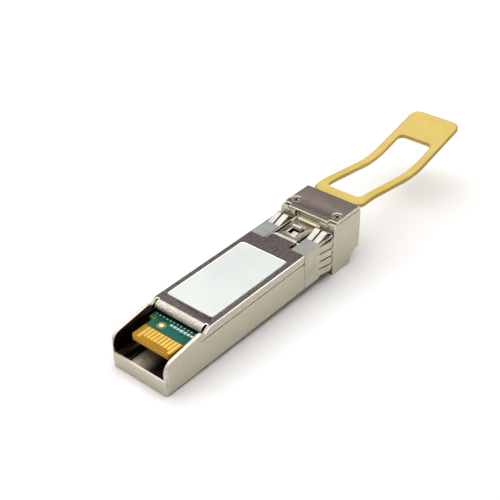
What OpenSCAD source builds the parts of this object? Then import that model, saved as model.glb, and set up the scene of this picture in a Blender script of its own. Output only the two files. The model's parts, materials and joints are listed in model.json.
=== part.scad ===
// Small-form-factor pluggable optical transceiver with a pull-tab release.
// Datum of every dimension below: rear end of the shell at x = 0, +X towards the pull tab,
// y = 0 on the centre plane, z = 0 on the underside of the shell. place() moves that datum
// into the part frame, whose origin is the bottom centre of the whole object.

/* [Shell] */
// Width of the shell
body_w = 13.4; // [13.3:0.1:13.5]
// Height of the shell
body_h = 8.5; // [8.4:0.1:8.6]
// Thickness of the side walls
wall = 0.7; // [0.6:0.05:0.75]
// Rear end of the shell to the start of the spring collar seat
shell_len = 38; // [37.8:0.1:38.1]
// Height of the seam between the shell and its cover
seam_z = 6.7; // [6.6:0.1:6.8]
// Radius of the long lower edges and of the upright rear edges
shell_r = 0.8; // [0.5:0.1:1]
// Radius of the side walls' upper rear corner
rim_r = 2.4; // [2:0.1:2.6]
// Height of the sill across the rear end
sill_z = 3.05; // [2.95:0.05:3.15]
// Thickness of the sill
sill_t = 0.6; // [0.55:0.05:0.8]

/* [Cover] */
// Rear tip of the cover's side flanges
flange_x = 8.7; // [8.5:0.1:9]
// Rear edge of the cover's flat top
cover_x = 11.25; // [11.15:0.05:11.3]
// Thickness of the cover's top
cover_t = 1.2; // [1:0.1:1.3]
// Start of the label recess
label_x = 13.3; // [13.2:0.1:13.5]
// Length of the label
label_len = 20.7; // [20:0.1:21]
// Width of the label
label_w = 10.6; // [10:0.1:10.8]

/* [Head] */
// Rear face of the head
head_x = 47.5; // [47.5:0.1:47.6]
// Front face of the head
head_end = 56.4; // [56.3:0.1:56.6]
// Width of the head
head_w = 13.2; // [13.1:0.1:13.4]
// How far the head reaches below the shell
head_drop = 1.7; // [1.7:0.05:1.8]
// Top of the head casting, under its cover plate
head_z = 9.55; // [9.5:0.05:9.6]
// Thickness of the head's cover plate
plate_t = 0.8; // [0.7:0.05:0.9]

/* [Optical ports] */
// Distance between the two optical axes
pitch = 6.25; // [6.25]
// Height of the optical axes
axis_z = 3.7; // [3.7]
// Side of the square plug opening
port_w = 4.7; // [4.6:0.05:4.75]
// Width of the plug's latch slot
latch_slot_w = 3.4; // [3.2:0.1:3.6]
// Radius of the ferrule bore in the alignment sleeves
ferrule_r = 0.63; // [0.63]

/* [Circuit board] */
// Rear edge of the board
board_x = 3.05; // [3:0.05:3.2]
// Width of the board's edge connector
edge_w = 9.2; // [9.1:0.1:9.3]
// Thickness of the board
board_t = 1; // [0.9:0.05:1.05]
// Height of the board's top face
board_z = 6.2; // [6.1:0.05:6.25]
// Pitch of the edge contacts
contact_pitch = 0.8; // [0.8]
// Edge contacts on each face
contacts = 10; // [10]

/* [Release] */
// Travel of the pull tab
travel = 2; // [1.8:0.1:2]
// Swing of the latch lever, in degrees
swing = 6.8; // [6.5:0.1:6.8]
// Width of the actuator cavity
cavity_w = 6.3; // [6.3:0.1:6.5]
// Height of the latch boss above the cover
boss_h = 0.45; // [0.35:0.05:0.45]
// Latching shoulder of the boss, from the rear end
shoulder_x = 45; // [44.9:0.1:45]

/* [Pull tab] */
// Width of the pull tab
tab_w = 12.3; // [12:0.1:12.4]
// Far end of the pull tab
tab_end = 96.2; // [95:0.5:98]
// Thickness of the pull tab
tab_t = 0.85; // [0.8:0.05:0.9]
// Width of the rails beside the finger window
rail_w = 2.05; // [1.8:0.05:2.2]
// Far end of the finger window
window_end = 87.4; // [86:0.2:88]
// Radius of the tab's outer corners
tab_r = 2.2; // [1.5:0.1:2.5]

/* [Hidden] */
$fn = 48;
cut = 1;                                     // how far a cutting solid runs past a face
fit = 0.05;                                  // gap between parts that slide or drop together
mid_x = tab_end / 2;                         // middle of the whole length
nickel = [0.74, 0.71, 0.63];
cast_dark = [0.43, 0.39, 0.38];
steel = [0.8, 0.8, 0.78];
gold = [0.9, 0.68, 0.25];
solder_mask = [0.08, 0.43, 0.33];
chip_black = [0.08, 0.08, 0.09];
ceramic = [0.93, 0.92, 0.88];
tab_gold = [0.9, 0.78, 0.4];

inner_half = body_w / 2 - wall;              // inside face of the side walls
floor_z = 2.2;                               // cavity floor behind the sill
cavity_end = 34;                             // front end of the shell's wide cavity
shelf_y = 3.1;                               // raised strip of floor along one side
shelf_z = 2.9;
ledge_half = 5.2;                            // ledges that carry the board
pedestal_z = 3.6;                            // boss under the receiver's thermal pad
seam_gap = 0.13;                             // groove below the cover's flanges
lip_half = 5.6;                              // rounded rear lip of the cover
lip_r = 1.3;
lip_drop = 1.4;
rim_climb = 8.5;                             // slope of the side walls' rim at the open rear end
rim_end_x = 9.05;
rim_end_z = 8.27;
notch_low_z = 7.7;                           // bottom of the notch between that rim and the cover
notch_low_x = flange_x - seam_gap + (notch_low_z - seam_z) * (cover_x - flange_x) / (body_h - seam_z);
label_sink = 0.12;                           // label recess: depth, and margin round the label
neck_half = 6.4;                             // casting under the spring collar
neck_z0 = 0.75;
neck_z1 = 8.2;
neck_seam = 6.3;                             // cover meets shell inside the collar
neck_bore_half = 5.8;
neck_floor = 1.1;
neck_end = head_x - 0.1;
sheet_t = 0.22;                              // spring collar sheet
collar_y = neck_half + 0.06;                 // inside faces of the collar
collar_z0 = neck_z0 - 0.03;
collar_z1 = neck_z1 + 0.02;
collar_x0 = shell_len + 0.03;
collar_gap = 3.3;                            // half width of the collar's opening over the lever
finger_x0 = 42.7;
finger_x1 = 47.25;
finger_tip = 45.75;                          // crest of each finger's bulge
top_rise = 0.85;                             // height of that bulge on top, and on the other sides
side_rise = 0.42;
chamber_z = 6.6;                             // floor of the release mechanism's chamber
chamber_end = 55;
pocket_z0 = -1.2;                            // seat of the port insert
pocket_z1 = 6.05;
notch_x = 48.5;                              // corner notches of the head's cover plate
notch_y = 4.77;
lintel_x = 49.3;                             // plate is thinner in front of this, over the slider's tongue
lintel_t = 0.45;
lintel_half = 3.1;
screw_x = 50.4;
screw_y = 5.1;
screw_hole_r = 0.62;
screw_head_r = 1.08;
screw_head_h = 0.62;
pivot_x = 40.8;                              // latch lever pivot
pivot_z = 7.85;
pivot_r = 0.25;
lever_r = 0.6;
lever_half = 2.55;
lever_top = 8.3;
lever_t = 0.6;
nose_x0 = 46.9;                              // end of the lever that carries the cross pin
nose_x1 = 49.2;
nose_half = 2.3;
nose_top = 8.38;
nose_step_x = 48.25;                         // nose is lower in front of this, under the slider's tongue
nose_low = 8.08;
boss_x0 = 44.05;                             // latch boss, and the ramp in front of it
boss_y0 = -0.9;
boss_y1 = 1.25;
ramp_x0 = 41.85;
ramp_x1 = 43.15;
cam_x = 48.5;                                // cross pin that follows the slider's slots
cam_z = 8.1;
cam_r = 0.22;
slider_z0 = 8.95;                            // slider plate
slider_z1 = 9.35;
slider_half = 2.95;
slider_x0 = 48.9;                            // flat plate starts here, with a bent tongue in front
tongue_x0 = 47.45;                           // lower edge of the tongue
tongue_z0 = 8.16;
tongue_half = 2.3;                           // half width of that edge
cheek_t = 0.33;
seat_x = 50.5;                               // slider flange that the springs push on
spring_y = 1.45;
spring_z = 8.1;
spring_r = 0.62;
wire_r = 0.12;
osa_x0 = 38;
nose_hole_r = 1.6;                           // hole in the port's back wall for the optical nose
sleeve_x0 = 47.25;                           // ceramic alignment sleeve
sleeve_x1 = 51;
sleeve_r = 0.8;
stub_r = 1;                                  // ceramic stub that holds the fibre
flex_pin_r = 0.2;
insert_x0 = 47.95;
board_end = 36.2;
board_half = 5.7;
shoulder_board_x = 8.8;                      // board widens here
corner_cut = 0.4;                            // chamfer of the board's edge-connector corners
pad_w = 0.56;                                // edge contacts
pad_t = 0.04;
pad_x0 = 3.45;                               // outer contacts start nearer the edge
pad_x1 = 6.45;
pad_step = 0.65;
row_shift = -0.4;                            // the upper row is staggered by half a pitch

// Points of a circular arc from angle a0 to a1.
function arc(cx, cy, r, a0, a1, n) = [
    for (i = [0:n]) let (a = a0 + (a1 - a0) * i / n) [cx + r * cos(a), cy + r * sin(a)]
];

// Everything is drawn in the datum frame and then moved into the part frame.
module place() translate([-mid_x, 0, head_drop]) children();
// Block from x0 to x1 and z0 to z1, centred on y with the given half width.
module slab(x0, x1, half, z0, z1) translate([x0, -half, z0]) cube([x1 - x0, 2 * half, z1 - z0]);
// Block between two corners.
module span(x0, x1, y0, y1, z0, z1) translate([x0, y0, z0]) cube([x1 - x0, y1 - y0, z1 - z0]);
// Extrudes an x-z outline across the width.
module along_y(half) rotate([90, 0, 0]) linear_extrude(2 * half, center = true) children();
// Extrudes a y-z outline from x0 to x1.
module along_x(x0, x1) translate([x0, 0, 0]) rotate([90, 0, 90]) linear_extrude(x1 - x0) children();
// Round bar along X.
module rod_x(x0, x1, y, z, r) translate([x0, y, z]) rotate([0, 90, 0]) cylinder(h = x1 - x0, r = r);
// Round bar along Y, centred on the centre plane.
module rod_y(x, z, half, r)
    translate([x, 0, z]) rotate([90, 0, 0]) cylinder(h = 2 * half, r = r, center = true);
module both_sides() {
    children();
    mirror([0, 1, 0]) children();
}
// Rectangle from (x0, y0) to (x1, y1) with round corners, as exact arcs.
module round_rect(x0, x1, y0, y1, r) {
    translate([x0 + r, y0]) square([x1 - x0 - 2 * r, y1 - y0]);
    translate([x0, y0 + r]) square([x1 - x0, y1 - y0 - 2 * r]);
    for (x = [x0 + r, x1 - r], y = [y0 + r, y1 - r]) translate([x, y]) circle(r);
}

// ---------------------------------------------------------------- shell
module shell_section() {
    translate([-body_w / 2, shell_r]) square([body_w, body_h]);
    translate([-body_w / 2 + shell_r, 0]) square([body_w - 2 * shell_r, body_h]);
    for (s = [-1, 1]) translate([s * (body_w / 2 - shell_r), shell_r]) circle(shell_r);
}

// Side view of the shell: round upper rear corner, rim that climbs to a V notch at the cover's
// flanges, and the slanted seat of those flanges.
module shell_side() polygon(concat(
    [[0, 0], [shell_len, 0], [shell_len, seam_z], [flange_x - seam_gap, seam_z]],
    [[notch_low_x, notch_low_z], [rim_end_x, rim_end_z]],
    arc(rim_r, rim_end_z - (rim_end_x - rim_r) * tan(rim_climb) - rim_r / cos(rim_climb),
        rim_r, 90 + rim_climb, 180, 10)));

module head_side() polygon(concat(
    [[head_x, -head_drop], [53.55, -head_drop]],
    arc(55.3, -1.05, 1.75, 180, 90, 8),
    [[head_end, 0.7], [head_end, head_z], [head_x, head_z]]));

module rear_cavity() {
    chamfer = 0.18;
    slab(-cut, 9, inner_half, sill_z, body_h + cut);
    span(sill_t, cavity_end, -inner_half, shelf_y, floor_z, body_h + cut);
    slab(sill_t, cavity_end, inner_half, shelf_z, body_h + cut);
    // chamfer along the sill's outer edge
    translate([0, 0, sill_z]) rotate([0, 45, 0]) slab(-chamfer, chamfer, body_w, -chamfer, chamfer);
}

// Ledges along both walls that carry the board, and the pedestal under its receiver chip.
module board_supports() {
    both_sides() span(12, cavity_end + cut, ledge_half, inner_half + 0.1, floor_z - 0.1, board_z - board_t);
    slab(21.2, 26.8, 2.7, floor_z - 0.1, pedestal_z);
}

// Posts at the head's rear corners, seen through the notches of its cover plate.
module corner_posts() both_sides()
    span(head_x + fit, notch_x - 0.08, notch_y + 0.1, head_w / 2 - 0.1, head_z - cut, head_z + plate_t / 2);

module base_housing() color(nickel) place() {
    housing_casting();
    board_supports();
    corner_posts();
}

module housing_casting() difference() {
    union() {
        intersection() {
            along_x(0, shell_len) shell_section();
            along_y(body_w / 2) shell_side();
            linear_extrude(body_h) round_rect(0, shell_len + 2, -body_w / 2, body_w / 2, shell_r);
        }
        slab(shell_len - cut, head_x + cut, neck_half, neck_z0, neck_seam);
        along_y(head_w / 2) head_side();
    }
    rear_cavity();
    slab(30, insert_x0 + cut, neck_bore_half, neck_floor, neck_seam);
    slab(9, shell_len + cut, inner_half, board_z, body_h + cut);
    slab(shell_len - cut, neck_end, neck_half + cut, neck_seam, body_h + cut);
    // release chamber and the slot that the slider leaves through
    slab(neck_end - cut, chamber_end, cavity_w / 2, chamber_z, head_z + cut);
    slab(chamber_end - cut, head_end + cut, slider_half + fit, slider_z0 - fit, head_z + cut);
    slab(insert_x0, head_end + cut, 5.9, pocket_z0, pocket_z1);
    // pockets in the head's rear face behind the collar's upper corners
    both_sides() span(head_x - cut, head_x + 0.45, 5.7, 6.4, 7.1, 8);
    both_sides() translate([screw_x, screw_y, 6.9]) cylinder(h = 4, r = screw_hole_r);
    // shadow line under the cover's flanges
    both_sides() span(flange_x + 0.1, shell_len + cut, body_w / 2 - 0.2, body_w, seam_z - seam_gap, seam_z);
}

// ---------------------------------------------------------------- cover
module cover_side() polygon([
    [flange_x, seam_z + 0.02], [shell_len - 0.02, seam_z + 0.02],
    [shell_len - 0.02, body_h], [cover_x, body_h]
]);

// Side view of the rear lip, joined to the flat top.
module cover_lip() polygon(concat(
    [[cover_x + 0.6, body_h - lip_drop], [cover_x + 0.6, body_h]],
    arc(cover_x, body_h - lip_r, lip_r, 90, 170, 6),
    [[cover_x - lip_r + 0.2, body_h - lip_drop]]));

module top_cover() color(cast_dark) place() difference() {
    union() {
        difference() {
            along_y(body_w / 2) cover_side();
            slab(0, shell_len - cut, inner_half, 0, body_h - cover_t);
            slab(0, cover_x + 0.1, inner_half, 0, body_h + cut);
        }
        along_y(lip_half) cover_lip();
        slab(shell_len - cut, neck_end - fit, neck_half, neck_seam + 0.02, neck_z1);
        slab(shell_len - cut, pivot_x - lever_r - 0.05, lever_half, neck_z1 - cut, body_h);
        slab(shell_len - cut, collar_x0 + 0.25, 3.15, neck_z1 - cut, body_h);
    }
    // actuator cavity, a groove each side of the tongue behind the lever
    slab(pivot_x - lever_r - 0.05, neck_end + cut, cavity_w / 2, chamber_z, body_h + cut);
    both_sides() span(collar_x0 + 0.3, pivot_x, lever_half + fit, cavity_w / 2, chamber_z, body_h + cut);
    rod_y(pivot_x, pivot_z, 3.75, pivot_r);
    // shallow recess for the label
    translate([0, 0, body_h - label_sink]) linear_extrude(cut) round_rect(
        label_x - label_sink, label_x + label_len + label_sink,
        -label_w / 2 - label_sink, label_w / 2 + label_sink, 0.62);
    // room under the neck for the optical cans
    slab(shell_len - 3, shell_len + 0.4, neck_bore_half, neck_seam - cut, body_h - cover_t);
}

module cover_label() color("white") place() translate([0, 0, body_h - label_sink]) linear_extrude(0.1)
    round_rect(label_x, label_x + label_len, -label_w / 2, label_w / 2, 0.5);

module absorber_pad() color(chip_black) place() slab(28, 35, 4.6, 6.95, body_h - cover_t);

// ---------------------------------------------------------------- head
module head_plate_outline() difference() {
    translate([head_x + 0.1, -head_w / 2 + 0.15]) square([head_end - head_x - 0.3, head_w - 0.3]);
    both_sides() translate([head_x - cut, notch_y]) square([notch_x - head_x + cut, head_w]);
}

module head_cover() color(cast_dark) place() difference() {
    translate([0, 0, head_z]) linear_extrude(plate_t) head_plate_outline();
    slab(head_x - cut, lintel_x, lintel_half, head_z - cut, head_z + plate_t - lintel_t);
    both_sides() translate([screw_x, screw_y, head_z - cut]) cylinder(h = 3, r = screw_hole_r + 0.2);
    both_sides() translate([screw_x, screw_y, head_z + plate_t - screw_head_h])
        cylinder(h = screw_head_h + 0.01, r1 = screw_head_r - 0.51, r2 = screw_head_r + 0.12);
}

// Countersunk screw with a cross recess.
module head_screw() difference() {
    top = head_z + plate_t;
    union() {
        translate([0, 0, top - screw_head_h])
            cylinder(h = 0.55, r1 = screw_head_r - 0.56, r2 = screw_head_r);
        translate([0, 0, 7.2]) cylinder(h = top - 7.7, r = screw_hole_r - 0.02);
    }
    translate([0, 0, top - 0.25]) for (a = [0, 90]) rotate(a) cube([1.5, 0.34, 0.6], center = true);
}

module head_screws() color(nickel) place() both_sides() translate([screw_x, screw_y, 0]) head_screw();

// ---------------------------------------------------------------- spring collar
// Side view of one contact finger: level root, bulge of the given height, tip that tucks back in.
module finger_side(rise) polygon(concat(
    [[finger_x0 - 0.4, 0], [finger_x0 + 0.2, 0]],
    arc(finger_tip, rise - 0.27, 0.35, 110, 50, 4),
    [[finger_x1, 0.02], [finger_x1, 0.02 + sheet_t]],
    arc(finger_tip, rise - 0.27, 0.35 + sheet_t, 50, 110, 4),
    [[finger_x0 + 0.15, sheet_t], [finger_x0 - 0.4, sheet_t]]));

module finger(width, rise) along_y(width / 2) finger_side(rise);

// Straight strip that carries on each folded corner of the collar between the fingers.
module corner_strip() {
    span(finger_x0 - 0.1, 46.4, collar_y - 0.12, collar_y + sheet_t, collar_z1, collar_z1 + sheet_t);
    span(finger_x0 - 0.1, 46.4, collar_y, collar_y + sheet_t, collar_z1 - 0.2, collar_z1 + sheet_t);
}

module emi_collar() color(steel) place() {
    difference() {
        slab(collar_x0, finger_x0, collar_y + sheet_t, collar_z0 - sheet_t, collar_z1 + sheet_t);
        slab(collar_x0 - cut, finger_x0 + cut, collar_y, collar_z0, collar_z1);
        slab(collar_x0 - cut, finger_x0 + cut, collar_gap, collar_z1 - cut, collar_z1 + cut);
    }
    both_sides() {
        translate([0, 3.95, collar_z1]) finger(1.22, top_rise);
        translate([0, 5.6, collar_z1]) finger(1.16, top_rise);
        for (k = [0:3])
            translate([0, collar_y, 1.65 + 1.78 * k]) rotate([-90, 0, 0]) finger(1.48, side_rise);
        corner_strip();
    }
    for (k = [-2.5:2.5]) translate([0, 2.1 * k, collar_z0]) rotate([180, 0, 0]) finger(1.8, side_rise);
}

// ---------------------------------------------------------------- optical ports
module port_insert() color(chip_black) place() difference() {
    intersection() {
        slab(insert_x0 + fit, head_end - 0.4, 5.85, pocket_z0 + fit, pocket_z1 - fit);
        along_y(6) polygon(concat(
            [[47, -2], [53.2, -2], [53.2, -1.05]],
            arc(55.3, -1.05, 2.1, 180, 90, 8),
            [[57, 1.05], [57, 7], [47, 7]]));
    }
    for (s = [-1, 1]) {
        y = s * pitch / 2;
        span(49, head_end + cut, y - port_w / 2, y + port_w / 2,
            axis_z - port_w / 2, axis_z + port_w / 2 - 0.2);
        span(49.6, head_end + cut, y - latch_slot_w / 2, y + latch_slot_w / 2, -0.7, axis_z);
        rod_x(47, 50, y, axis_z, nose_hole_r);
    }
}

// ---------------------------------------------------------------- optical sub-assemblies
module osa(y) difference() {
    union() {
        rod_x(osa_x0, 38.6, y, axis_z, 2.3);
        rod_x(38.6, 43.6, y, axis_z, 2.5);
        rod_x(43.6, 45.3, y, axis_z, 2.3);
        rod_x(45.3, 46.3, y, axis_z, 1.7);
        rod_x(46.3, 47.4, y, axis_z, 2.4);
        rod_x(47.4, 51.2, y, axis_z, 1.45);
        for (a = [45:90:315]) translate([0, 0.9 * cos(a), 0.9 * sin(a)])
            rod_x(36.95, 38.2, y, axis_z, flex_pin_r);
    }
    rod_x(sleeve_x0 - fit, 52, y, axis_z, sleeve_r + 0.02);
    rod_x(45, 47.3, y, axis_z, stub_r + 0.02);
}

module sleeve(y) difference() {
    rod_x(sleeve_x0, sleeve_x1, y, axis_z, sleeve_r);
    rod_x(47, 52, y, axis_z, ferrule_r);
    span(47, 52, y - 0.08, y + 0.08, axis_z, axis_z + 1);
}

// Flexible circuit from the header's pins up over the end of the board.
module flex_side() polygon(concat(
    [[37.6, 1.9], [37.6, 5.7]], arc(36.9, 5.7, 0.7, 0, 90, 6), [[32, 6.4], [32, 6.25], [36.9, 6.25]],
    arc(36.9, 5.7, 0.55, 90, 0, 6), [[37.45, 1.9]]));

module flex(y) difference() {
    translate([0, y, 0]) along_y(1.9) flex_side();
    for (a = [45:90:315])
        translate([0, 0.9 * cos(a), 0.9 * sin(a)]) rod_x(36, 38, y, axis_z, flex_pin_r + 0.02);
}

module tosa_body() color([0.83, 0.72, 0.45]) place() osa(pitch / 2);
module rosa_body() color([0.83, 0.72, 0.45]) place() osa(-pitch / 2);
module tosa_sleeve() color(ceramic) place() sleeve(pitch / 2);
module rosa_sleeve() color(ceramic) place() sleeve(-pitch / 2);
module fiber_stubs() color(ceramic) place() for (s = [-1, 1])
    rod_x(45.05, sleeve_x0 - 0.1, s * pitch / 2, axis_z, stub_r);
module tosa_flex() color([0.75, 0.45, 0.1]) place() flex(pitch / 2);
module rosa_flex() color([0.75, 0.45, 0.1]) place() flex(-pitch / 2);

module osa_clamp() color(nickel) place() difference() {
    slab(45.4, 46.2, 5.7, neck_floor, 6.1);
    for (s = [-1, 1]) {
        rod_x(45, 47, s * pitch / 2, axis_z, 1.75);
        span(45, 47, s * pitch / 2 - 1.75, s * pitch / 2 + 1.75, axis_z, 7);
    }
}

// ---------------------------------------------------------------- circuit board
module board_outline() {
    polygon([
        [board_x, -edge_w / 2 + corner_cut], [board_x + corner_cut, -edge_w / 2],
        [shoulder_board_x + 1, -edge_w / 2], [shoulder_board_x + 1, edge_w / 2],
        [board_x + corner_cut, edge_w / 2], [board_x, edge_w / 2 - corner_cut]
    ]);
    translate([shoulder_board_x, -board_half]) square([board_end - shoulder_board_x, 2 * board_half]);
}

module circuit_board() color(solder_mask) place()
    translate([0, 0, board_z - board_t]) linear_extrude(board_t) board_outline();

// Gold edge contacts: the outer two reach nearer to the board's edge.
module contact_row(shift) for (k = [0:contacts - 1]) {
    x0 = (k == 0 || k == contacts - 1) ? pad_x0 : pad_x0 + pad_step;
    y = (k - (contacts - 1) / 2) * contact_pitch + shift;
    translate([x0, y - pad_w / 2]) square([pad_x1 - x0, pad_w]);
}

module contacts_top() color(gold) place()
    translate([0, 0, board_z]) linear_extrude(pad_t) contact_row(row_shift);
module contacts_bottom() color(gold) place()
    translate([0, 0, board_z - board_t - pad_t]) linear_extrude(pad_t) contact_row(0);
module board_fiducial() color(gold) place() translate([8.1, 2.05, board_z]) cylinder(h = 0.03, r = 0.42);

// Leadless chip package of the given size, with a row of pads along each side.
module chip(x, y, side, h, pads) translate([x, y, 0]) {
    translate([-side / 2, -side / 2, 0.05]) cube([side, side, h - 0.05]);
    for (a = [0:90:270], k = [0:pads - 1]) rotate(a)
        translate([side / 2 - 0.35, (k - (pads - 1) / 2) * side / (pads + 1) - 0.11, 0])
            cube([0.38, 0.22, 0.16]);
}

module laser_driver() color(chip_black) place() translate([0, 0, board_z]) chip(25.2, 2.4, 4, 0.85, 6);
module microcontroller() color(chip_black) place() translate([0, 0, board_z]) chip(16.4, -2.2, 4, 0.8, 7);
module receiver_ic() color(chip_black) place()
    mirror([0, 0, 1]) translate([0, 0, board_t - board_z]) chip(24, -1.5, 5, 0.85, 8);
module clock_crystal() color(steel) place() translate([0, 0, board_z]) {
    span(19.6, 22.1, 2.2, 4.2, 0.15, 0.7);
    span(19.7, 22, 2.3, 4.1, 0, 0.15);
}

module thermal_pad() color([0.6, 0.65, 0.75]) place()
    slab(21.5, 26.5, 2.4, pedestal_z, board_z - board_t - 0.86);

// Small two-terminal parts on the board's upper face.
module passive(x, y, turn) translate([x, y, board_z]) rotate(turn) {
    translate([-0.3, -0.25, 0]) cube([0.6, 0.5, 0.42]);
    for (s = [-1, 1]) translate([s * 0.4 - 0.1, -0.26, 0]) cube([0.2, 0.52, 0.45]);
}

module board_passives() color([0.72, 0.6, 0.45]) place() {
    for (k = [0:5]) passive(12.4, -4.4 + 1.2 * k, 0);
    for (k = [0:4]) passive(20.4 + 1.3 * k, -4.2, 90);
    for (k = [0:3]) passive(29.2, -3.9 + 1.1 * k, 0);
    for (k = [0:2]) passive(14.2 + 1.4 * k, 3.6, 90);
}

// ---------------------------------------------------------------- release mechanism
module boss_side() polygon([
    [boss_x0, lever_top - 0.2], [boss_x0 + 0.05, lever_top + 0.1], [boss_x0 + 0.3, body_h + boss_h],
    [shoulder_x - 0.1, body_h + boss_h], [shoulder_x, body_h + boss_h - 0.1], [shoulder_x, lever_top - 0.2]
]);

module ramp_side() polygon([
    [ramp_x0, lever_top - 0.2], [ramp_x0 + 0.05, lever_top + 0.05],
    [ramp_x1 - 0.15, lever_top + 0.42], [ramp_x1, lever_top - 0.2]
]);

// Side view of the nose: low under the slider's tongue, higher round the cross pin.
module nose_side() polygon([
    [nose_x0, nose_top - 0.65], [nose_x0, lever_top], [nose_x0 + 0.25, lever_top],
    [nose_x0 + 0.4, nose_low],
    [nose_step_x - 0.1, nose_low], [nose_step_x, nose_top], [nose_x1 - 0.3, nose_top],
    [nose_x1, nose_top - 0.2], [nose_x1, nose_top - 0.65]
]);

module latch_lever() color(cast_dark) place() difference() {
    union() {
        rod_y(pivot_x, pivot_z, lever_half, lever_r);
        slab(pivot_x, nose_x0 + 0.1, lever_half, lever_top - lever_t, lever_top);
        along_y(nose_half) nose_side();
        translate([0, (boss_y0 + boss_y1) / 2, 0]) along_y((boss_y1 - boss_y0) / 2) boss_side();
        translate([0, -0.65, 0]) along_y(0.55) ramp_side();
        // low rib beside the opening
        span(ramp_x0 + 0.5, boss_x0 + 0.1, boss_y1 - 0.3, boss_y1, lever_top - 0.2, lever_top + 0.15);
    }
    rod_y(pivot_x, pivot_z, 4, pivot_r + 0.02);
    rod_y(cam_x, cam_z, 4, cam_r);
    // opening round the ramp's far end, with a leg along each side
    span(ramp_x0 + 0.6, boss_x0, 0, boss_y1 - 0.35, 7, 9);
    span(ramp_x1 + 0.05, boss_x0, boss_y0 + 0.1, boss_y1 - 0.35, 7, 9);
    span(ramp_x1 + 0.45, shoulder_x - 0.2, boss_y0 - 0.45, boss_y0 - 0.05, 7, 9);
}

module lever_pin() color(steel) place() rod_y(pivot_x, pivot_z, 3.7, pivot_r);
module cam_pin() color(steel) place() rod_y(cam_x, cam_z, slider_half - 0.02, cam_r);

// Bent leaf that lifts the lever: foot on the cavity floor, tongue up to the lever.
module leaf_side() let (top = lever_top - lever_t - 0.04) polygon(concat(
    [[45.9, chamber_z + 0.02], [45.9, chamber_z + 0.17], [42.3, chamber_z + 0.17]],
    arc(42.3, chamber_z + 0.37, 0.2, 270, 120, 5),
    [[45.6, top - 0.16], [45.6, top]],
    arc(42.3, chamber_z + 0.37, 0.35, 120, 270, 5)));

module lever_spring() color(steel) place() along_y(1.1) leaf_side();

// Slanted slot in the slider's cheeks that draws the cross pin down.
module cam_slot() {
    reach = cam_x - pivot_x;
    rise = cam_z - pivot_z;
    down_x = pivot_x + reach * cos(swing) + rise * sin(swing) - travel;
    down_z = pivot_z - reach * sin(swing) + rise * cos(swing);
    run = cam_x - down_x;
    fall = cam_z - down_z;
    slot_r = cam_r + fit;
    for (p = [[cam_x, cam_z], [down_x, down_z]]) translate(p) circle(slot_r);
    translate([down_x, down_z]) rotate(atan2(fall, run)) translate([0, -slot_r])
        square([norm([run, fall]), 2 * slot_r]);
}

// Rear end of the slider's plate, bent down over the lever's nose.
module tongue_side() polygon([
    [tongue_x0, tongue_z0], [tongue_x0, tongue_z0 + 0.1], [slider_x0 - 0.25, slider_z0],
    [slider_x0 + 0.2, slider_z1], [slider_x0 + 0.5, slider_z1], [slider_x0 + 0.5, slider_z0 + 0.05],
    [slider_x0 + 0.15, slider_z0], [tongue_x0 + 0.17, tongue_z0]
]);

// Outline of the tongue, narrower at its free edge.
module tongue_plan() polygon([
    [tongue_x0 - cut, -tongue_half], [tongue_x0, -tongue_half], [slider_x0 - 0.2, -slider_half],
    [slider_x0 + 1, -slider_half], [slider_x0 + 1, slider_half], [slider_x0 - 0.2, slider_half],
    [tongue_x0, tongue_half], [tongue_x0 - cut, tongue_half]
]);

module pull_slider() color(steel) place() difference() {
    union() {
        slab(slider_x0 + 0.2, 58.2, slider_half, slider_z0, slider_z1);
        intersection() {
            along_y(slider_half) tongue_side();
            linear_extrude(20) tongue_plan();
        }
        both_sides() span(48, seat_x + 0.4, slider_half - cheek_t, slider_half, 6.68, slider_z1 - 0.1);
        both_sides() span(45.9, 48.1, slider_half - cheek_t, slider_half, 6.68, 8.4);
        slab(seat_x, seat_x + 0.4, slider_half - 0.1, 7.3, slider_z0 + 0.1);
    }
    along_y(4) cam_slot();
    // holes that lock the tab's moulding onto the plate
    for (y = [-1.6, 1.6]) translate([57.6, y, 9]) cylinder(h = 1, r = 0.35, center = true);
}

// Side view of the tab's mid-surface: level at the head, down-slope, valley, up-slope.
function tab_path() = let (
        z0 = slider_z0 + 0.35, down = 7.9, up = 13.1, r1 = 20, r2 = 23,
        x1 = 60.2, x2 = x1 + r1 * sin(down), z2 = z0 - r1 * (1 - cos(down)),
        x3 = 73.6, z3 = z2 - (x3 - x2) * tan(down),
        cx = x3 + r2 * sin(down), cz = z3 + r2 * cos(down),
        x4 = cx + r2 * sin(up), z4 = cz - r2 * cos(up)
    ) concat(
        [[56.6, z0]], arc(x1, z0 - r1, r1, 90, 90 - down, 4),
        arc(cx, cz, r2, 270 - down, 270 + up, 10),
        [[tab_end, z4 + (tab_end - x4) * tan(up)]]);

module tab_side() {
    path = tab_path();
    polygon(concat(
        [for (p = path) p + [0, tab_t / 2]],
        [for (i = [len(path) - 1:-1:0]) path[i] - [0, tab_t / 2]]));
}

module tab_plan() difference() {
    round_rect(56.6, tab_end, -tab_w / 2, tab_w / 2, tab_r);
    round_rect(59.5, window_end, -tab_w / 2 + rail_w, tab_w / 2 - rail_w, 1.3);
}

module pull_tab() color(tab_gold) place() difference() {
    intersection() {
        along_y(tab_w) tab_side();
        linear_extrude(20) tab_plan();
    }
    slab(56, 58.2, slider_half, slider_z0, slider_z1);
}

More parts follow.
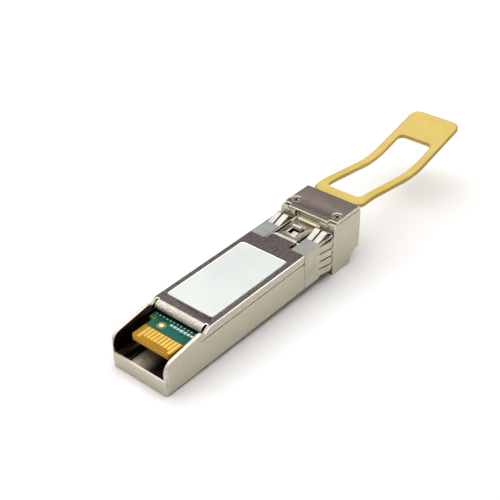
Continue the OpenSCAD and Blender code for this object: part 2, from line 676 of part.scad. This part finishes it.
// Coil spring along X as a swept round wire.
module coil(x0, x1, y, z, turns) {
    steps = 14;
    n = turns * steps;
    lead = (x1 - x0 - 2 * wire_r) / n;
    ring = [for (i = [0:n], k = [0:5])
        let (a = 360 * i / steps, b = 60 * k, r = spring_r + wire_r * cos(b))
            [x0 + wire_r + lead * i + wire_r * sin(b), y + r * cos(a), z + r * sin(a)]];
    sides = [for (i = [0:n - 1], k = [0:5]) let (next = (k + 1) % 6)
        [6 * i + k, 6 * i + next, 6 * (i + 1) + next, 6 * (i + 1) + k]];
    polyhedron(ring, concat(sides, [[5, 4, 3, 2, 1, 0]], [[for (k = [0:5]) 6 * n + k]]));
}

module return_springs() color(steel) place() for (s = [-1, 1])
    coil(seat_x + 0.45, chamber_end - 0.05, s * spring_y, spring_z, 6);

base_housing();
top_cover();
cover_label();
head_cover();
head_screws();
emi_collar();
absorber_pad();
port_insert();
circuit_board();
contacts_top();
contacts_bottom();
board_fiducial();
laser_driver();
receiver_ic();
microcontroller();
clock_crystal();
board_passives();
thermal_pad();
tosa_body();
rosa_body();
tosa_sleeve();
rosa_sleeve();
fiber_stubs();
tosa_flex();
rosa_flex();
osa_clamp();
latch_lever();
lever_pin();
cam_pin();
lever_spring();
pull_slider();
pull_tab();
return_springs();
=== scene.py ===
import json
import math
import random

import bmesh
import bpy
from mathutils import Matrix, Vector


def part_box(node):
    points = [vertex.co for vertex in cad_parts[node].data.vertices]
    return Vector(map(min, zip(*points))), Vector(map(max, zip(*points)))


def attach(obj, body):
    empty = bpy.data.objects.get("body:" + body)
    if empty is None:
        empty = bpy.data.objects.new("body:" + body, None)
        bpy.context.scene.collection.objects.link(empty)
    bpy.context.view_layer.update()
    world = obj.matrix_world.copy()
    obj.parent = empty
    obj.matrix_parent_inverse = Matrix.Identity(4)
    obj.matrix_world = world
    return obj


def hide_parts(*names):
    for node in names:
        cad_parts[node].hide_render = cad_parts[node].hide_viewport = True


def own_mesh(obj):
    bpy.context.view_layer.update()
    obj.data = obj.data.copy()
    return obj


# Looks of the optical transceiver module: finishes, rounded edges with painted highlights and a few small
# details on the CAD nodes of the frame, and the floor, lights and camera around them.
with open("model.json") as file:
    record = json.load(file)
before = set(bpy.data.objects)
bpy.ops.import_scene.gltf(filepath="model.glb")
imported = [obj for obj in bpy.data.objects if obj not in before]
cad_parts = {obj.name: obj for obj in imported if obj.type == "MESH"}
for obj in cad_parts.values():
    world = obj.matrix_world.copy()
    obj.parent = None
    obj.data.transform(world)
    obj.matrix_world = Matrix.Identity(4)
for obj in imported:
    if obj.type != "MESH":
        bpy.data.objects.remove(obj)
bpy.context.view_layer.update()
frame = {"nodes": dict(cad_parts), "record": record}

MM = 0.001
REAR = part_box("base_housing")[0].x      # rear end of the case, where the datum's x is 0
DROP = 1.7 * MM                         # the head's underside is this far below the case


def at(x, y, z):
    """A point given in the datum of part.scad, in millimetres, as a point of the frame."""
    return Vector((REAR + x * MM, y * MM, DROP + z * MM))


def datum(point):
    """A point of the frame in the datum of part.scad, in millimetres."""
    return Vector(((point.x - REAR) / MM, point.y / MM, (point.z - DROP) / MM))


# ------------------------------------------------------------------ materials
class Tree:
    """Short calls for building one material's nodes."""

    def __init__(self, color, roughness, metallic=0.0, **sockets):
        self.material = bpy.data.materials.new("finish")
        self.material.use_nodes = True
        self.nodes = self.material.node_tree.nodes
        self.links = self.material.node_tree.links
        self.shader = self.nodes["Principled BSDF"]
        self.shader.inputs["Base Color"].default_value = (*color, 1)
        self.shader.inputs["Roughness"].default_value = roughness
        self.shader.inputs["Metallic"].default_value = metallic
        for socket, value in sockets.items():
            self.shader.inputs[socket.replace("_", " ")].default_value = value
        self.place = self.nodes.new("ShaderNodeTexCoord").outputs["Object"]

    def noise(self, size, detail=3.0, stretch=(1, 1, 1), rough=0.55):
        """Noise whose spots are about size millimetres across, longer along the axes of stretch."""
        mapping = self.nodes.new("ShaderNodeMapping")
        mapping.inputs["Scale"].default_value = [1 / (size * MM * s) for s in stretch]
        self.links.new(self.place, mapping.inputs["Vector"])
        node = self.nodes.new("ShaderNodeTexNoise")
        node.inputs["Scale"].default_value = 1.0
        node.inputs["Detail"].default_value = detail
        node.inputs["Roughness"].default_value = rough
        self.links.new(mapping.outputs["Vector"], node.inputs["Vector"])
        return node.outputs["Fac"]

    def spread(self, value, low_out, high_out, low_in=0.3, high_in=0.7):
        node = self.nodes.new("ShaderNodeMapRange")
        node.inputs["From Min"].default_value = low_in
        node.inputs["From Max"].default_value = high_in
        node.inputs["To Min"].default_value = low_out
        node.inputs["To Max"].default_value = high_out
        self.links.new(value, node.inputs["Value"])
        return node.outputs["Result"]

    def tint(self, value, dark, light, start=0.35, end=0.65):
        """Runs from one colour to another as value goes from start to end."""
        node = self.nodes.new("ShaderNodeValToRGB")
        first, last = node.color_ramp.elements
        first.position, first.color = start, (*dark, 1)
        last.position, last.color = end, (*light, 1)
        self.links.new(value, node.inputs["Fac"])
        return node.outputs["Color"]

    def multiply(self, first, second):
        node = self.nodes.new("ShaderNodeMath")
        node.operation = "MULTIPLY"
        self.links.new(first, node.inputs[0])
        self.links.new(second, node.inputs[1])
        return node.outputs["Value"]

    def bump(self, value, depth, strength=1.0, under=None):
        """Relief from value, depth in millimetres, on top of another relief if one is given."""
        node = self.nodes.new("ShaderNodeBump")
        node.inputs["Distance"].default_value = depth * MM
        node.inputs["Strength"].default_value = strength
        self.links.new(value, node.inputs["Height"])
        if under is not None:
            self.links.new(under, node.inputs["Normal"])
        return node.outputs["Normal"]

    def set(self, socket, value):
        self.links.new(value, self.shader.inputs[socket])
        return self


def cast_nickel(dark, light, grain, depth, rough, wide=3.0):
    """Plated casting: fine grain, patches of sheen and a slow drift of colour."""
    t = Tree(light, rough, metallic=1.0)
    fine = t.noise(grain, detail=4.0, rough=0.65)
    patch = t.noise(wide, detail=2.0)
    t.set("Base Color", t.tint(fine, dark, light, 0.34, 0.66))
    t.set("Roughness", t.spread(patch, rough - 0.05, rough + 0.07))
    relief = t.bump(patch, depth * 0.6, 0.5)
    t.set("Normal", t.bump(fine, depth, 1.0, relief))
    return t.material


def rolled_sheet(color, rough, along=(6, 1, 6)):
    """Stamped sheet with faint rolling lines."""
    t = Tree(color, rough, metallic=1.0)
    lines = t.noise(0.12, detail=3.0, stretch=along)
    patch = t.noise(2.2, detail=2.0)
    darker = tuple(c * 0.86 for c in color)
    t.set("Base Color", t.tint(patch, darker, color))
    t.set("Roughness", t.spread(lines, rough - 0.05, rough + 0.06))
    t.set("Normal", t.bump(lines, 0.004, 0.7))
    return t.material


def shaded(axis, start, end, dark, light, metallic, rough):
    """Inside surface with painted light: runs from painted shade to a lit tone along an axis of the frame,
    in metres.
    """
    t = Tree(light, rough, metallic=metallic)
    split = t.nodes.new("ShaderNodeSeparateXYZ")
    t.links.new(t.place, split.inputs["Vector"])
    fade = t.spread(split.outputs[axis], 0.0, 1.0, start, end)
    cloud = t.spread(t.noise(1.6, detail=2.0), 0.55, 1.0)
    t.set("Base Color", t.tint(t.multiply(fade, cloud), dark, light, 0.0, 1.0))
    grain = t.noise(0.2, detail=3.0)
    t.set("Roughness", t.spread(grain, rough - 0.05, rough + 0.08))
    t.set("Normal", t.bump(grain, 0.004, 0.8))
    return t.material


def ribbed_sheet(dark, light, rough):
    """Sheet with visible forming lines across its width."""
    t = Tree(light, rough, metallic=0.45)
    lines = t.noise(0.30, detail=1.0, stretch=(1, 60, 1))
    t.set("Base Color", t.tint(lines, dark, light, 0.40, 0.58))
    t.set("Roughness", t.spread(lines, rough + 0.08, rough - 0.04))
    t.set("Normal", t.bump(lines, 0.02, 0.7))
    return t.material


def polished(color, rough):
    """Worn or ground metal with light scratches."""
    t = Tree(color, rough, metallic=1.0)
    marks = t.noise(0.25, detail=4.0, stretch=(5, 5, 1))
    t.set("Roughness", t.spread(marks, rough * 0.7, rough * 1.4))
    t.set("Base Color", t.tint(marks, tuple(c * 0.9 for c in color), color))
    t.set("Normal", t.bump(marks, 0.003, 0.5))
    return t.material


def moulded(dark, light, rough, grain=0.12, depth=0.006, **sockets):
    """Moulded or matt surface: fine spark-eroded texture and slight clouding."""
    t = Tree(light, rough, **sockets)
    fine = t.noise(grain, detail=3.0)
    cloud = t.noise(6.0, detail=2.0)
    t.set("Base Color", t.tint(cloud, dark, light, 0.3, 0.7))
    t.set("Roughness", t.spread(fine, rough - 0.05, rough + 0.08))
    t.set("Normal", t.bump(fine, depth, 0.8))
    return t.material


def solder_mask():
    """Green lacquer over laminate: copper planes show as lighter patches under it."""
    t = Tree((0.003, 0.075, 0.048), 0.4, Specular_IOR_Level=0.15)
    weave = t.noise(0.35, detail=2.0, stretch=(1, 3, 1))
    plane = t.noise(2.4, detail=1.0)
    t.set("Base Color", t.tint(plane, (0.002, 0.072, 0.046), (0.004, 0.108, 0.070), 0.42, 0.56))
    t.set("Roughness", t.spread(weave, 0.36, 0.5))
    t.set("Normal", t.bump(weave, 0.006, 0.7))
    return t.material


TRANSLUCENT = {"Subsurface_Weight": 0.35, "Subsurface_Scale": 1.5 * MM}
MATERIALS = {
    "nickel": cast_nickel((0.47, 0.44, 0.345), (0.53, 0.495, 0.395), 0.5, 0.006, 0.34, wide=5.0),
    "speckle": cast_nickel((0.045, 0.035, 0.032), (0.21, 0.18, 0.17), 0.26, 0.05, 0.40),
    "lip": cast_nickel((0.26, 0.22, 0.18), (0.80, 0.75, 0.66), 0.22, 0.06, 0.36),
    # lighter plating: painted highlight on the rims of the walls
    "rim": cast_nickel((0.40, 0.37, 0.32), (0.80, 0.77, 0.70), 0.22, 0.05, 0.34),
    # nearly black plating: painted shade inside the shell, under the cover's lip and in the lever's window
    "cavity": cast_nickel((0.020, 0.014, 0.008), (0.06, 0.042, 0.026), 0.7, 0.01, 0.30, wide=3.0),
    # the open end's floor: a painted pool of light towards one side; its walls: painted light at the top,
    # painted shade lower down
    "cavity_floor_painted_light": shaded(
        "Y", -1.4 * MM, 1.8 * MM, (0.006, 0.003, 0.002), (0.60, 0.53, 0.41), 0.35, 0.30),
    "cavity_wall_painted_light": shaded(
        "Z", DROP + 6.4 * MM, DROP + 8.4 * MM, (0.005, 0.003, 0.002), (0.26, 0.13, 0.045), 0.6, 0.34),
    # near black: painted shade on the notch's lower step under the cover's flanges and inside the cover's
    # opening for the lever
    "seam": moulded((0.020, 0.014, 0.008), (0.035, 0.026, 0.016), 0.6, 0.3),
    # rounded edges of the shell, lighter than the plating: painted highlight
    "soft_edge_highlight": polished((0.68, 0.645, 0.55), 0.32),
    "plate": cast_nickel((0.145, 0.12, 0.106), (0.24, 0.203, 0.176), 0.3, 0.03, 0.50, wide=2.0),
    # rounded edges of cover, plate, lever and screws: painted highlight
    "edge_highlight": polished((0.90, 0.87, 0.80), 0.30),
    "barrel": rolled_sheet((0.50, 0.47, 0.38), 0.45),
    "burnished": moulded((0.34, 0.325, 0.28), (0.46, 0.44, 0.385), 0.35, 0.2, 0.004, metallic=0.4),
    "tongue": ribbed_sheet((0.50, 0.47, 0.27), (0.92, 0.87, 0.62), 0.55),
    "lever_top": cast_nickel((0.31, 0.265, 0.205), (0.60, 0.53, 0.43), 0.3, 0.03, 0.42),
    # the lever's sides, lighter than its top: painted highlight
    "lever_edge_highlight": cast_nickel((0.60, 0.56, 0.46), (0.74, 0.70, 0.60), 0.3, 0.02, 0.30),
    "collar": rolled_sheet((0.53, 0.50, 0.40), 0.36),
    # the collar is one plated sheet; its top and its fingers are painted in other tones for the light they
    # catch
    "collar_top_painted_light": rolled_sheet((0.39, 0.40, 0.375), 0.45),
    "finger": rolled_sheet((0.46, 0.455, 0.41), 0.34),
    "stamped": rolled_sheet((0.66, 0.65, 0.60), 0.32),
    "spring": polished((0.62, 0.62, 0.60), 0.25),
    "pin": polished((0.72, 0.72, 0.70), 0.18),
    "screw": polished((0.24, 0.21, 0.12), 0.40),
    # nearly black: painted shade in the screws' cross recesses
    "screw_recess_shade": polished((0.05, 0.04, 0.018), 0.45),
    "gold": rolled_sheet((0.70, 0.46, 0.10), 0.34, along=(9, 1, 1)),
    "pale_gold": polished((0.95, 0.82, 0.52), 0.3),
    "osa": polished((0.80, 0.66, 0.36), 0.3),
    "label": moulded((0.60, 0.645, 0.625), (0.65, 0.69, 0.66), 0.34, 0.3, 0.003, Coat_Weight=0.2),
    "tab": moulded((0.57, 0.425, 0.085), (0.63, 0.472, 0.105), 0.5, 0.15, 0.006, **TRANSLUCENT),
    # darker copies of the tab's plastic: painted shade on its sides and along its outer edge
    "tab_side": moulded((0.50, 0.37, 0.075), (0.56, 0.42, 0.09), 0.5, 0.15, 0.006, **TRANSLUCENT),
    "tab_edge_shade": moulded((0.33, 0.245, 0.045), (0.38, 0.285, 0.06), 0.5, 0.15, 0.006, **TRANSLUCENT),
    "black": moulded((0.010, 0.010, 0.011), (0.018, 0.018, 0.019), 0.42),
    "rubber": moulded((0.012, 0.012, 0.013), (0.025, 0.025, 0.026), 0.75),
    "chip": moulded((0.012, 0.012, 0.014), (0.022, 0.022, 0.025), 0.5, 0.06),
    "gel": moulded((0.24, 0.30, 0.48), (0.32, 0.38, 0.56), 0.6),
    "ceramic": moulded((0.78, 0.76, 0.70), (0.86, 0.84, 0.79), 0.2, 0.4, 0.002),
    "passive": moulded((0.30, 0.20, 0.10), (0.48, 0.36, 0.22), 0.4, 0.1),
    "film": moulded((0.40, 0.14, 0.015), (0.55, 0.22, 0.03), 0.3, 0.2, 0.003),
    "mask": solder_mask(),
    "silkscreen": moulded((0.62, 0.78, 0.76), (0.74, 0.90, 0.88), 0.5, 0.08),
    "laminate": moulded((0.28, 0.135, 0.003), (0.37, 0.19, 0.006), 0.5, 0.1, Specular_IOR_Level=0.15),
    # the board's rear end face, lighter than the laminate: painted light where the lamps reach it
    "laminate_end_lit": moulded((0.50, 0.24, 0.008), (0.60, 0.30, 0.014), 0.5, 0.1),
    "mask_shade": moulded((0.001, 0.012, 0.010), (0.002, 0.022, 0.018), 0.5, 0.2),
    "clearing": moulded((0.14, 0.15, 0.035), (0.20, 0.20, 0.05), 0.4, 0.1),
}
for material_name, material in MATERIALS.items():
    material.name = material_name

NODE_MATERIAL = {
    "base_housing": "nickel", "top_cover": "speckle", "cover_label": "label", "head_cover": "plate",
    "head_screws": "screw", "emi_collar": "collar", "absorber_pad": "rubber", "port_insert": "black",
    "circuit_board": "mask", "contacts_top": "gold", "contacts_bottom": "gold",
    "board_fiducial": "pale_gold", "laser_driver": "chip", "receiver_ic": "chip", "microcontroller": "chip",
    "clock_crystal": "stamped", "board_passives": "passive", "thermal_pad": "gel", "tosa_body": "osa",
    "rosa_body": "osa", "tosa_sleeve": "ceramic", "rosa_sleeve": "ceramic", "fiber_stubs": "ceramic",
    "tosa_flex": "film", "rosa_flex": "film", "osa_clamp": "stamped", "latch_lever": "lever_top",
    "lever_pin": "pin", "cam_pin": "pin", "lever_spring": "spring", "pull_slider": "stamped",
    "pull_tab": "tab", "return_springs": "spring",
}

for node_name, node_object in frame["nodes"].items():
    node_object.data.materials.clear()
    node_object.data.materials.append(MATERIALS[NODE_MATERIAL[node_name]])


# ------------------------------------------------------------------ finished copies of the CAD nodes
# Limits in the datum, in millimetres, at which one finish gives way to another. Behind means
# towards the open rear end, and in front means towards the pull tab.
SILL_INSIDE = 0.55          # just behind the inner face of the sill
CAVITY_END = 37.9           # just behind the front end of the shell
SHELL_END = 38
SEEN_FLOOR = 20             # the floor and the walls of the open end, with painted light and shade, lie behind these
SEEN_WALL = 12
NEAR_WALL = 5.9             # the side walls' inner faces lie between these two
INNER_WALL = 6.02
WALL_IN, WALL_OUT = 6.05, 6.69       # the tops of those walls lie between these two
RIM_END = 11                # the rim round the open rear end lies behind this
CAVITY_LOW = 2.1            # just below the cavity's floor
STRIP_LOW = 2.6             # between that floor and its raised strip
SILL_TOP = 3.1              # just above the sill
SEAM_LOW = 6.5              # just below the seam between shell and cover
NOTCH_LOW = 7.7             # bottom of the notch between the side wall's rim and the cover
RIM_TOP = 8.3               # just above the rim's highest point
SHELL_TOP = 8.45            # just below the flat top of the shell and its cover
FLANGE_START = 8.4          # just behind the tips of the cover's flanges
LIP_END = 11.4              # just in front of the cover's rounded lip
LIP_HALF = 5.5              # just inside the lip's ends
LIP_LOW = 7.15              # just above the lip's lower edge
COVER_TOP = 8.3             # just below the floor of the label recess
OPENING_HALF = 3.6          # just outside the sides of the cover's opening for the lever
PLATE_TOP = 10.2            # just below the top of the head's plate
RECESS_TOP = 10.24          # just below the flat tops of the screws
BARREL_END = 41.1           # the lever's rounded rear end lies behind this
WINDOW_START = 41.3         # the lever's window, with the ramp and the boss in it
WINDOW_END = 45.1
WINDOW_HALF = 1.45
LEVER_LOW, LEVER_TOP = 8.29, 8.32    # just below and just above the lever's flat top
MASK_START = 6.6            # the green lacquer starts in front of the contacts
MASK_END = 10.4             # and beyond this carries the painted shadow of the cover's lip
COLLAR_TOP = 8.2            # just below the collar's top sheet
FINGER_START = 42.6         # just behind the collar's fingers
TONGUE_END = 49.2           # front end of the slider's bent tongue
TAB_FRONT = 95              # the outer edge of the tab lies beyond these
TAB_HALF = 5.9
UPRIGHT = 0.9               # least share of a normal along an axis for a face to count as facing it


# Each rule names the finish of a face from its normal and its centre c in the datum.
def housing_finish(normal, c):
    side = abs(c.y)
    inside = c.x > SILL_INSIDE and side < INNER_WALL
    # the open end's floor and walls carry painted light and shade
    if inside and c.x < SEEN_FLOOR and c.z < STRIP_LOW and normal.z > UPRIGHT:
        return "cavity_floor_painted_light"
    if inside and c.x < SEEN_WALL and side > NEAR_WALL and abs(normal.y) > UPRIGHT:
        return "cavity_wall_painted_light"
    beside_cover = FLANGE_START < c.x < SHELL_END and side > NEAR_WALL and SEAM_LOW < c.z < RIM_TOP
    # in the notch beside the cover, the lower step is painted nearly black for shade and the upper step
    # carries a painted highlight
    if beside_cover and normal.z > 0.5 and normal.x < 0.1:
        return "seam" if c.z < NOTCH_LOW else "rim"
    # the rest of the shell's inside is painted nearly black for shade
    if inside and c.x < CAVITY_END and CAVITY_LOW < c.z < SHELL_TOP:
        return "cavity"
    # the tops of the walls round the open end carry a painted highlight
    if c.x < RIM_END and WALL_IN < side < WALL_OUT and c.z > SILL_TOP and normal.z > -0.1:
        return "rim"
    return "nickel"


def cover_finish(normal, c):
    # under the lip, the cover's inside is painted nearly black for shade
    if c.x < LIP_END and abs(c.y) < INNER_WALL and normal.z < 0.995:
        return "lip" if abs(c.y) < LIP_HALF and normal.x < 0.1 and c.z > LIP_LOW else "cavity"
    if normal.z > 0.7 and c.z > COVER_TOP:
        return "speckle"
    # inside the opening for the lever the cover is painted nearly black for shade
    if c.x > CAVITY_END and abs(c.y) < OPENING_HALF and c.z < SHELL_TOP:
        return "seam"
    return "nickel"


def plate_finish(normal, c):
    return "plate" if normal.z > UPRIGHT and c.z > PLATE_TOP else "nickel"


def lever_finish(normal, c):
    if c.x < BARREL_END:
        return "barrel"
    if WINDOW_START < c.x < WINDOW_END and abs(c.y) < WINDOW_HALF:
        # the window's walls below the lever's top are painted nearly black for shade
        if c.z < LEVER_LOW:
            return "cavity"
        return "burnished" if c.z > LEVER_TOP else "lever_top"
    # the lever's side faces carry a painted highlight
    return "lever_top" if normal.z > UPRIGHT else "lever_edge_highlight"


def board_finish(normal, c):
    if abs(normal.z) > 0.5 and c.x > MASK_START:
        # beyond MASK_END the lacquer carries the painted shadow of the cover's lip
        return "mask" if c.x < MASK_END or normal.z < 0 else "mask_shade"
    # the board's end face towards the open end is painted lighter for the light it catches
    return "laminate_end_lit" if normal.x < -0.5 else "laminate"


def collar_finish(normal, c):
    # the collar's top and fingers take tones of painted light
    if c.x > FINGER_START and c.z > COLLAR_TOP and normal.z > 0:
        return "finger"
    return "collar_top_painted_light" if normal.z > UPRIGHT and c.z > COLLAR_TOP else "collar"


def tab_finish(normal, c):
    if abs(normal.z) > 0.6:
        return "tab"
    # the tab's sides and outer edge carry painted shade
    return "tab_edge_shade" if c.x > TAB_FRONT or abs(c.y) > TAB_HALF else "tab_side"


def screw_finish(normal, c):
    # the recess below the head's flat top is painted nearly black for shade
    return "screw_recess_shade" if c.z < RECESS_TOP else "screw"


def slider_finish(normal, c):
    return "tongue" if c.x < TONGUE_END + 0.1 else "stamped"


FINISHED = {
    # node: bevel width in millimetres, its segments, rule for the faces, material of the bevel
    # the bevels' materials carry painted highlights along the edges
    "base_housing": (0.10, 2, housing_finish, "soft_edge_highlight"),
    "top_cover": (0.14, 2, cover_finish, "edge_highlight"),
    "head_cover": (0.09, 2, plate_finish, "edge_highlight"),
    "latch_lever": (0.13, 2, lever_finish, "edge_highlight"),
    "circuit_board": (0.03, 1, board_finish, None),
    "pull_tab": (0.38, 3, tab_finish, "tab_edge_shade"),
    "emi_collar": (0.0, 0, collar_finish, None),
    "port_insert": (0.06, 2, None, None),
    "pull_slider": (0.03, 2, slider_finish, None),
    "head_screws": (0.05, 1, screw_finish, "edge_highlight"),
    "return_springs": (0.0, 0, None, None),
    "lever_spring": (0.0, 0, None, None),
}
CUTS = {
    # node: planes that split its faces where one finish ends, as (point, direction) in the datum
    "circuit_board": [((MASK_START, 0, 0), (1, 0, 0)), ((MASK_END, 0, 0), (1, 0, 0))],
    "latch_lever": [((0, 0, LEVER_LOW), (0, 0, 1))],
    "pull_slider": [((TONGUE_END, 0, 0), (1, 0, 0))],
}
CLAMPED = {"port_insert", "pull_slider"}    # their bevels stop where they would overlap
WELD = 0.002 * MM           # vertices closer than this become one
FLAT = math.radians(0.6)    # faces that turn less than this from one to the next become one
CORNER = math.radians(35)   # outward edges that turn more than this are rounded
CREASE = math.radians(32)   # edges that turn more than this are drawn sharp
BODY_OF = {node: body for body, names in frame["record"]["behaviour"]["bodies"].items() for node in names}


def edge_weight(node, c):
    """How much of its bevel an outward edge gets, by where it is: inner and narrow edges stay crisp."""
    side = abs(c.y)
    if node == "top_cover":
        flange_inside = c.x < LIP_END and 5.7 < side < 6.3 and c.z < 8.4
        lever_opening = CAVITY_END < c.x < 38.6 and side < 3.3
        if flange_inside or lever_opening:
            return 0.0
        flange_low = side > 6.3 and c.z < 6.9
        return 0.35 if flange_low else 1.0
    if node == "pull_tab":
        window = 58 < c.x < 93.5 and side <= 5.8
        return 0.4 if window else 1.0
    if node == "latch_lever":
        outer_edge = side > 2.2
        return 1.0 if outer_edge else 0.6
    if node == "head_cover":
        around_screw = 48.9 < c.x < 51.9 and 3.6 < side < 6.4
        return 0.2 if around_screw else 1.0
    if node == "base_housing":
        along_seam = c.x > FLANGE_START and side > NEAR_WALL and SEAM_LOW < c.z < 6.9
        return 0.3 if along_seam else 1.0
    return 1.0


def finished(node, width, segments, rule, edge):
    """Copy of a CAD node with flat faces merged, edges rounded and each face in its own finish."""
    mesh = frame["nodes"][node].data.copy()
    mesh.materials.clear()
    piece = bpy.data.objects.new("fine_" + node, mesh)
    bpy.context.scene.collection.objects.link(piece)
    shape = bmesh.new()
    shape.from_mesh(mesh)
    bmesh.ops.remove_doubles(shape, verts=shape.verts, dist=WELD)
    for point, direction in CUTS.get(node, []):
        everything = list(shape.verts) + list(shape.edges) + list(shape.faces)
        bmesh.ops.bisect_plane(shape, geom=everything, plane_co=at(*point), plane_no=direction)
    names = []
    for face in shape.faces:
        name = rule(face.normal, datum(face.calc_center_median())) if rule else NODE_MATERIAL[node]
        if name not in names:
            names.append(name)
        face.material_index = names.index(name)
    bmesh.ops.dissolve_limit(
        shape, angle_limit=FLAT, verts=shape.verts, edges=shape.edges, delimit={"MATERIAL"})
    weight = shape.edges.layers.float.new("bevel_weight_edge")
    shape.normal_update()
    for side in shape.edges:
        if len(side.link_faces) == 2 and side.calc_face_angle_signed(0) > CORNER:
            side[weight] = edge_weight(node, datum((side.verts[0].co + side.verts[1].co) / 2))
    shape.to_mesh(mesh)
    shape.free()
    for name in names + ([edge] if edge else []):
        mesh.materials.append(MATERIALS[name])
    mesh.shade_smooth()
    mesh.set_sharp_from_angle(angle=CREASE)
    if width:
        bevel = piece.modifiers.new("edges", "BEVEL")
        bevel.width = width * MM
        bevel.segments = segments
        bevel.limit_method = "WEIGHT"
        bevel.harden_normals = True
        bevel.use_clamp_overlap = node in CLAMPED
        bevel.material = len(names) if edge else -1
    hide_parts(node)
    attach(piece, BODY_OF[node])
    return piece


PIECES = {node: finished(node, *how) for node, how in FINISHED.items()}
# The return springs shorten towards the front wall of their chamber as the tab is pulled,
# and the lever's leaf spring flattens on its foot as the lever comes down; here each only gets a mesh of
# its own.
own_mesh(PIECES["return_springs"])
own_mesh(PIECES["lever_spring"])


# ------------------------------------------------------------------ small details
def board_piece(name, shape, material):
    """Piece that lies on the board and moves with the housing."""
    mesh = bpy.data.meshes.new(name)
    shape.to_mesh(mesh)
    shape.free()
    mesh.materials.append(MATERIALS[material])
    piece = bpy.data.objects.new(name, mesh)
    bpy.context.scene.collection.objects.link(piece)
    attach(piece, "housing")


def ring(name, x, y, inner, outer):
    """Flat annulus where the lacquer leaves the board clear."""
    shape = bmesh.new()
    count = 40
    thick = 0.012
    turn = [2 * math.pi * k / count for k in range(count)]
    loops = []
    for radius, height in ((inner, 0), (outer, 0), (outer, thick), (inner, thick)):
        loops.append([
            shape.verts.new(at(x + radius * math.cos(a), y + radius * math.sin(a), BOARD_TOP + height))
            for a in turn])
    for a, b in zip(loops, loops[1:] + loops[:1]):
        for k in range(count):
            n = (k + 1) % count
            shape.faces.new((a[k], a[n], b[n], b[k]))
    bmesh.ops.recalc_face_normals(shape, faces=shape.faces)
    board_piece(name, shape, "clearing")


def board_marks():
    """Two rows of generic printed dashes on the board, in place of its component markings."""
    chance = random.Random(4)
    shape = bmesh.new()
    thick = 0.016

    def dash(x, y, width, shortest, longest):
        length = chance.uniform(shortest, longest)
        middle = at(x, y, BOARD_TOP + 0.01)
        for vert in bmesh.ops.create_cube(shape, size=1.0)["verts"]:
            vert.co = middle + Vector((vert.co.x * length, vert.co.y * width, vert.co.z * thick)) * MM

    for k in range(7):
        for lane in (-0.17, 0.15):
            dash(9.2, 0.68 - 0.805 * k + lane, 0.24, 0.45, 0.75)
    for k in range(12):
        dash(10.0, 5.0 - 0.84 * k, 0.32, 0.22, 0.34)
    board_piece("board_marks", shape, "silkscreen")


BOARD_TOP = datum(Vector(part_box("circuit_board")[1])).z
ring("fiducial_clearing", 8.1, 2.05, 0.43, 0.95)
ring("board_via", 8.96, 4.76, 0.30, 0.50)
board_marks()


# ------------------------------------------------------------------ stage
def build_floor():
    """Pale floor that touches the rear lower edge of the case and the head's lower edge."""
    bpy.ops.mesh.primitive_plane_add(size=6)
    floor = bpy.context.object
    floor.name = "floor"
    head_edge = 47.5 * MM                   # rear lower edge of the head, from the rear end
    floor.rotation_euler.y = math.atan2(DROP, head_edge)
    floor.location = (REAR + head_edge, 0, 0)
    t = Tree((0.86, 0.86, 0.86), 0.6)
    t.material.name = "floor"
    t.set("Roughness", t.spread(t.noise(40.0), 0.55, 0.7))
    floor.data.materials.append(t.material)


def area_light(name, position, target, width, depth, radiance):
    """Rectangular lamp of the given brightness, turned to its target; sizes in metres."""
    light = bpy.data.lights.new(name, "AREA")
    light.shape = "RECTANGLE"
    light.size, light.size_y = width, depth
    light.energy = radiance * math.pi * width * depth
    holder = bpy.data.objects.new(name, light)
    bpy.context.scene.collection.objects.link(holder)
    holder.location = position
    holder.rotation_euler = (Vector(target) - Vector(position)).to_track_quat("-Z", "Y").to_euler()
    return holder


def build_lights():
    area_light("overhead", (0.12, 0.16, 0.62), (0.12, 0.16, 0), 0.90, 1.00, 2.2)
    area_light("left_card", (-0.50, 0.42, 0.40), (0, 0, 0), 0.45, 0.35, 2.0)
    # seen only in reflections, along the upper edges of the near side
    edge_card = area_light("edge_card", (0.30, -0.42, 0.35), (0.02, 0, 0), 0.30, 0.24, 3.2)
    edge_card.visible_diffuse = False
    # lightens the shadow on the floor
    fill = area_light("fill", (0, 0, 1.8), (0, 0, 0), 3.4, 3.4, 0.25)
    fill.visible_glossy = False
    world = bpy.data.worlds.new("studio")
    world.use_nodes = True
    world.node_tree.nodes["Background"].inputs["Color"].default_value = (0.22, 0.20, 0.19, 1)
    world.node_tree.nodes["Background"].inputs["Strength"].default_value = 1.0
    bpy.context.scene.world = world


def build_camera():
    """Camera above the card-edge end, with the place, turn and lens of the photo's view."""
    heading, dip, roll = math.radians(40.40), math.radians(35.385), math.radians(-0.826)
    forward = Vector((math.cos(dip) * math.cos(heading), math.cos(dip) * math.sin(heading), -math.sin(dip)))
    level = forward.cross(Vector((0, 0, 1))).normalized()
    upright = level.cross(forward)
    right = level * math.cos(roll) + upright * math.sin(roll)
    up = upright * math.cos(roll) - level * math.sin(roll)
    data = bpy.data.cameras.new("camera")
    data.sensor_width = 36
    data.lens = 71.21
    data.clip_start = 0.01
    camera = bpy.data.objects.new("camera", data)
    bpy.context.scene.collection.objects.link(camera)
    turn = Matrix((right, up, -forward)).transposed().to_4x4()
    camera.matrix_world = Matrix.Translation(at(-83.653, -96.654, 117.218)) @ turn
    bpy.context.scene.camera = camera


build_floor()
build_lights()
build_camera()
bpy.context.scene.view_settings.view_transform = "Standard"
